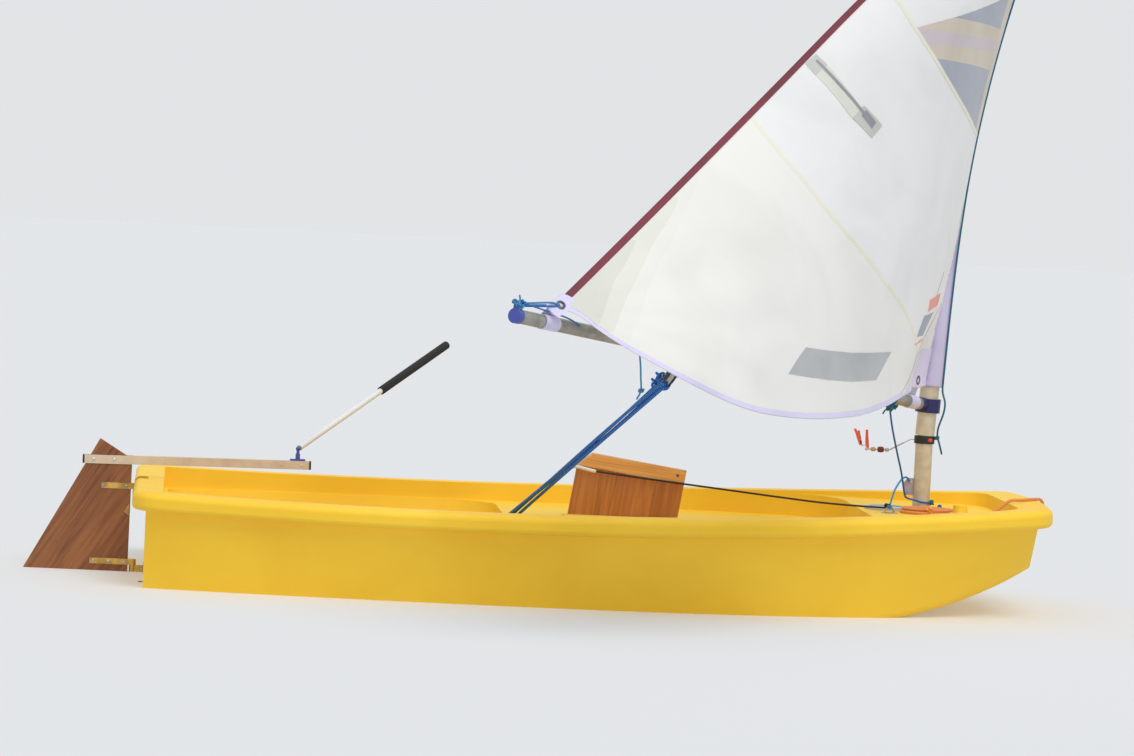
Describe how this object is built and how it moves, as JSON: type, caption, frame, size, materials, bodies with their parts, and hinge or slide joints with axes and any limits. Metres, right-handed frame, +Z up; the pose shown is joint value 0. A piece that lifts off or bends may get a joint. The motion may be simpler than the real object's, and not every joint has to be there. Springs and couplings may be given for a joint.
{
  "type": "sailing dinghy",
  "caption": "Small moulded pram dinghy with a stepped cockpit, hinged rudder with tiller and extension, sliding daggerboard, turning mast, boom and sleeved sail.",
  "frame": {"origin": "on the centreline amidships, at the still waterline", "axes": "+X forward to the bow, +Y to port, +Z up"},
  "size_m": [2.6836, 2.1733, 2.8013],
  "materials": {
    "hull_plastic": "glossy moulded, fine scuffs",
    "dark_plastic": "matt moulded",
    "grey_plastic": "satin moulded",
    "blue_plastic": "satin moulded",
    "strap_metal": "brushed, slightly tarnished",
    "steel": "brushed",
    "spar_alloy": "anodised, satin",
    "rudder_wood": "varnished dark",
    "board_wood": "varnished",
    "cheek_wood": "varnished light",
    "grip_rubber": "matt foam",
    "webbing": "woven",
    "pale_webbing": "woven",
    "sailcloth": "crisp woven polyester",
    "orange_rope": "braided",
    "blue_rope": "braided",
    "vane_red": "thin sheet"
  },
  "bodies": {
    "hull": {"hull": "hull_plastic", "mast_step": "dark_plastic", "mast_collar": "dark_plastic", "hatch_ring": "grey_plastic", "hatch_cover": "grey_plastic", "gudgeon_upper": "strap_metal", "gudgeon_lower": "strap_metal", "transom_drain": "dark_plastic", "bow_eye": "steel", "deck_eye": "steel", "block_base": "steel", "floor_block": "dark_plastic", "toe_straps": "webbing", "painter": "orange_rope", "painter_coil": "orange_rope", "mainsheet_tail": "blue_rope", "mainsheet_coil": "blue_rope"},
    "rudder": {"rudder_blade": "rudder_wood", "pintle_upper": "strap_metal", "pintle_lower": "strap_metal", "tiller": "spar_alloy", "tiller_plugs": "dark_plastic", "extension_base": "blue_plastic"},
    "extension_swivel": {"extension_stem": "blue_plastic"},
    "tiller_extension": {"extension_tube": "spar_alloy", "extension_grip": "grip_rubber"},
    "daggerboard": {"daggerboard": "board_wood", "cheek_port": "cheek_wood", "cheek_starboard": "cheek_wood"},
    "rig": {"mast_foot": "dark_plastic", "mast_lower": "spar_alloy", "mast_upper": "spar_alloy", "mast_band": "dark_plastic", "mast_cleat": "spar_alloy", "boom": "spar_alloy", "boom_jaw": "blue_plastic", "boom_cap": "blue_plastic", "boom_bail": "steel", "boom_block": "dark_plastic", "sail": "sailcloth", "sail_sleeve": "sailcloth", "clew_strap": "pale_webbing", "tack_strap": "pale_webbing", "vane_arm": "steel"},
    "vane": {"wind_vane": "vane_red"}
  },
  "joints": [
    {"name": "rudder_hinge", "type": "hinge", "parent": "hull", "child": "rudder", "pos_m": [-1.176, 0, 0.2], "axis": [0, 0, 1], "range_deg": [-60, 60]},
    {"name": "extension_turn", "type": "hinge", "parent": "rudder", "child": "extension_swivel", "pos_m": [-0.764, 0, 0.3357], "axis": [0, 0, 1], "range_deg": [-188.9, 81.1]},
    {"name": "extension_tilt", "type": "hinge", "parent": "extension_swivel", "child": "tiller_extension", "pos_m": [-0.764, 0, 0.3357], "axis": [0.808, -0.5892, 0], "range_deg": [-21, 64]},
    {"name": "board_slide", "type": "slide", "parent": "hull", "child": "daggerboard", "axis": [0.1392, 0, 0.9903], "range_m": [-0.09, 0.56]},
    {"name": "rig_turn", "type": "hinge", "parent": "hull", "child": "rig", "pos_m": [0.863, 0, 0.05], "axis": [0, 0, 1], "range_deg": [-143, 37]},
    {"name": "vane_turn", "type": "hinge", "parent": "rig", "child": "vane", "pos_m": [0.712, 0, 0.403], "axis": [0, 0, 1], "continuous": true}
  ]
}
